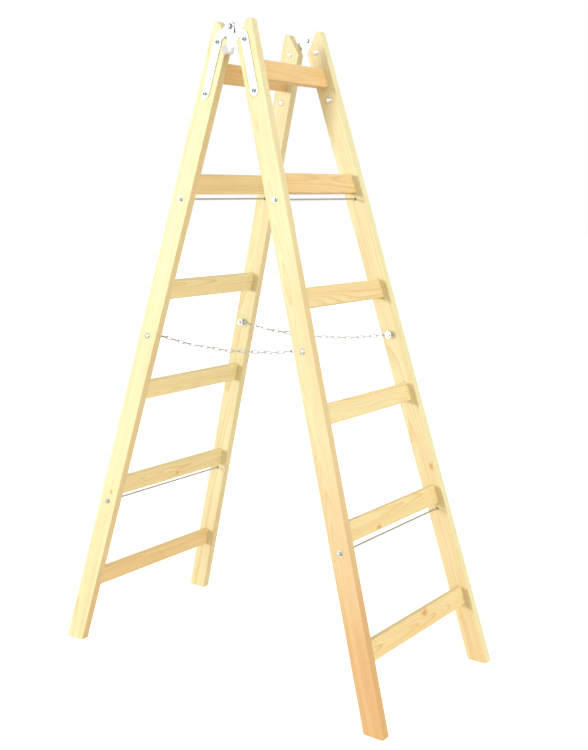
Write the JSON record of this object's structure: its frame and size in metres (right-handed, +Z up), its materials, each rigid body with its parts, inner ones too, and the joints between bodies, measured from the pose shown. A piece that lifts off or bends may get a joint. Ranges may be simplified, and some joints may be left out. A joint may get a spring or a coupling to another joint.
{
  "type": "wooden double step ladder",
  "caption": "Free-standing wooden double step ladder: two hinged halves with rungs, tie rods and limiting chains, and a bucket hook on the hinge.",
  "frame": {"origin": "on the floor, midway between the four feet, ladder open", "axes": "+X along the rungs towards the ladder's right as seen from the front, +Y towards the rear half, +Z up"},
  "size_m": [0.5742, 1.0984, 1.7322],
  "materials": {
    "stringer_pine": "planed, clear varnished pine, pale yellow",
    "rung_pine": "planed, clear varnished pine, warmer and darker",
    "zinc_plate": "bright zinc plating, satin",
    "bright_steel": "drawn bright steel rod"
  },
  "bodies": {
    "front_half": {"front_rung_1": "rung_pine", "front_rung_2": "rung_pine", "front_rung_3": "rung_pine", "front_rung_4": "rung_pine", "front_rung_5": "rung_pine", "front_rung_6": "rung_pine", "front_tie_rod_lower": "bright_steel", "front_tie_rod_upper": "bright_steel", "front_stringer_left": "stringer_pine", "front_hinge_strap_left": "zinc_plate", "front_strap_bolt_upper_left": "zinc_plate", "front_strap_bolt_lower_left": "zinc_plate", "front_rod_nut_lower_left": "zinc_plate", "front_rod_nut_upper_left": "zinc_plate", "front_chain_anchor_left": "zinc_plate", "front_stringer_right": "stringer_pine", "front_hinge_strap_right": "zinc_plate", "front_strap_bolt_upper_right": "zinc_plate", "front_strap_bolt_lower_right": "zinc_plate", "front_rod_nut_lower_right": "zinc_plate", "front_rod_nut_upper_right": "zinc_plate", "front_chain_anchor_right": "zinc_plate", "hinge_bolt_left": "zinc_plate", "hinge_bolt_right": "zinc_plate", "hinge_nut_left": "zinc_plate", "hinge_nut_right": "zinc_plate"},
    "rear_half": {"rear_rung_1": "rung_pine", "rear_rung_2": "rung_pine", "rear_rung_3": "rung_pine", "rear_rung_4": "rung_pine", "rear_rung_5": "rung_pine", "rear_rung_6": "rung_pine", "rear_tie_rod_lower": "bright_steel", "rear_tie_rod_upper": "bright_steel", "rear_stringer_left": "stringer_pine", "rear_hinge_strap_left": "zinc_plate", "rear_strap_bolt_upper_left": "zinc_plate", "rear_strap_bolt_lower_left": "zinc_plate", "rear_rod_nut_lower_left": "zinc_plate", "rear_rod_nut_upper_left": "zinc_plate", "rear_chain_anchor_left": "zinc_plate", "rear_stringer_right": "stringer_pine", "rear_hinge_strap_right": "zinc_plate", "rear_strap_bolt_upper_right": "zinc_plate", "rear_strap_bolt_lower_right": "zinc_plate", "rear_rod_nut_lower_right": "zinc_plate", "rear_rod_nut_upper_right": "zinc_plate", "rear_chain_anchor_right": "zinc_plate"},
    "bucket_hook": {"bucket_hook": "zinc_plate"},
    "chain_left_front_upper": {"chain_left_front_upper": "zinc_plate"},
    "chain_left_front_lower": {"chain_left_front_lower": "zinc_plate"},
    "chain_left_middle": {"chain_left_middle": "zinc_plate"},
    "chain_left_rear_upper": {"chain_left_rear_upper": "zinc_plate"},
    "chain_left_rear_lower": {"chain_left_rear_lower": "zinc_plate"},
    "chain_right_front_upper": {"chain_right_front_upper": "zinc_plate"},
    "chain_right_front_lower": {"chain_right_front_lower": "zinc_plate"},
    "chain_right_middle": {"chain_right_middle": "zinc_plate"},
    "chain_right_rear_upper": {"chain_right_rear_upper": "zinc_plate"},
    "chain_right_rear_lower": {"chain_right_rear_lower": "zinc_plate"}
  },
  "joints": [
    {"name": "fold", "type": "hinge", "parent": "front_half", "child": "rear_half", "pos_m": [0, 0, 1.71447], "axis": [-1, 0, 0], "range_deg": [0, 31.7]},
    {"name": "bucket_hook_swing", "type": "hinge", "parent": "front_half", "child": "bucket_hook", "pos_m": [-0.1716, 0, 1.71447], "axis": [1, 0, 0], "range_deg": [-33, 3]},
    {"name": "chain_left_front_upper_swing", "type": "hinge", "parent": "front_half", "child": "chain_left_front_upper", "pos_m": [-0.18821, -0.2616, 0.91388], "axis": [-1, 0, 0], "range_deg": [0, 88.82]},
    {"name": "chain_left_front_lower_swing", "type": "hinge", "parent": "chain_left_front_upper", "child": "chain_left_front_lower", "pos_m": [-0.18821, -0.13815, 0.89643], "axis": [-1, 0, 0], "range_deg": [0, 12.83]},
    {"name": "chain_left_middle_swing", "type": "hinge", "parent": "chain_left_front_lower", "child": "chain_left_middle", "pos_m": [-0.18821, -0.01064, 0.88985], "axis": [-1, 0, 0], "range_deg": [-85.78, 0]},
    {"name": "chain_left_rear_upper_swing", "type": "hinge", "parent": "rear_half", "child": "chain_left_rear_upper", "pos_m": [-0.18511, 0.2616, 0.91388], "axis": [-1, 0, 0], "range_deg": [-88.82, 0]},
    {"name": "chain_left_rear_lower_swing", "type": "hinge", "parent": "chain_left_rear_upper", "child": "chain_left_rear_lower", "pos_m": [-0.18511, 0.13815, 0.89643], "axis": [-1, 0, 0], "range_deg": [-12.83, 0]},
    {"name": "chain_right_front_upper_swing", "type": "hinge", "parent": "front_half", "child": "chain_right_front_upper", "pos_m": [0.18821, -0.2616, 0.91388], "axis": [-1, 0, 0], "range_deg": [0, 88.82]},
    {"name": "chain_right_front_lower_swing", "type": "hinge", "parent": "chain_right_front_upper", "child": "chain_right_front_lower", "pos_m": [0.18821, -0.13815, 0.89643], "axis": [-1, 0, 0], "range_deg": [0, 12.83]},
    {"name": "chain_right_middle_swing", "type": "hinge", "parent": "chain_right_front_lower", "child": "chain_right_middle", "pos_m": [0.18821, -0.01064, 0.88985], "axis": [-1, 0, 0], "range_deg": [-85.78, 0]},
    {"name": "chain_right_rear_upper_swing", "type": "hinge", "parent": "rear_half", "child": "chain_right_rear_upper", "pos_m": [0.18511, 0.2616, 0.91388], "axis": [-1, 0, 0], "range_deg": [-88.82, 0]},
    {"name": "chain_right_rear_lower_swing", "type": "hinge", "parent": "chain_right_rear_upper", "child": "chain_right_rear_lower", "pos_m": [0.18511, 0.13815, 0.89643], "axis": [-1, 0, 0], "range_deg": [-12.83, 0]}
  ],
  "couplings": [
    {"joint": "chain_left_front_upper_swing", "follows": "fold", "ratio": 2.8014},
    {"joint": "chain_left_front_lower_swing", "follows": "fold", "ratio": 0.40416},
    {"joint": "chain_left_middle_swing", "follows": "fold", "ratio": -2.7055},
    {"joint": "chain_left_rear_upper_swing", "follows": "fold", "ratio": -2.8014},
    {"joint": "chain_left_rear_lower_swing", "follows": "fold", "ratio": -0.40416},
    {"joint": "chain_right_front_upper_swing", "follows": "fold", "ratio": 2.8014},
    {"joint": "chain_right_front_lower_swing", "follows": "fold", "ratio": 0.40416},
    {"joint": "chain_right_middle_swing", "follows": "fold", "ratio": -2.7055},
    {"joint": "chain_right_rear_upper_swing", "follows": "fold", "ratio": -2.8014},
    {"joint": "chain_right_rear_lower_swing", "follows": "fold", "ratio": -0.40416}
  ]
}
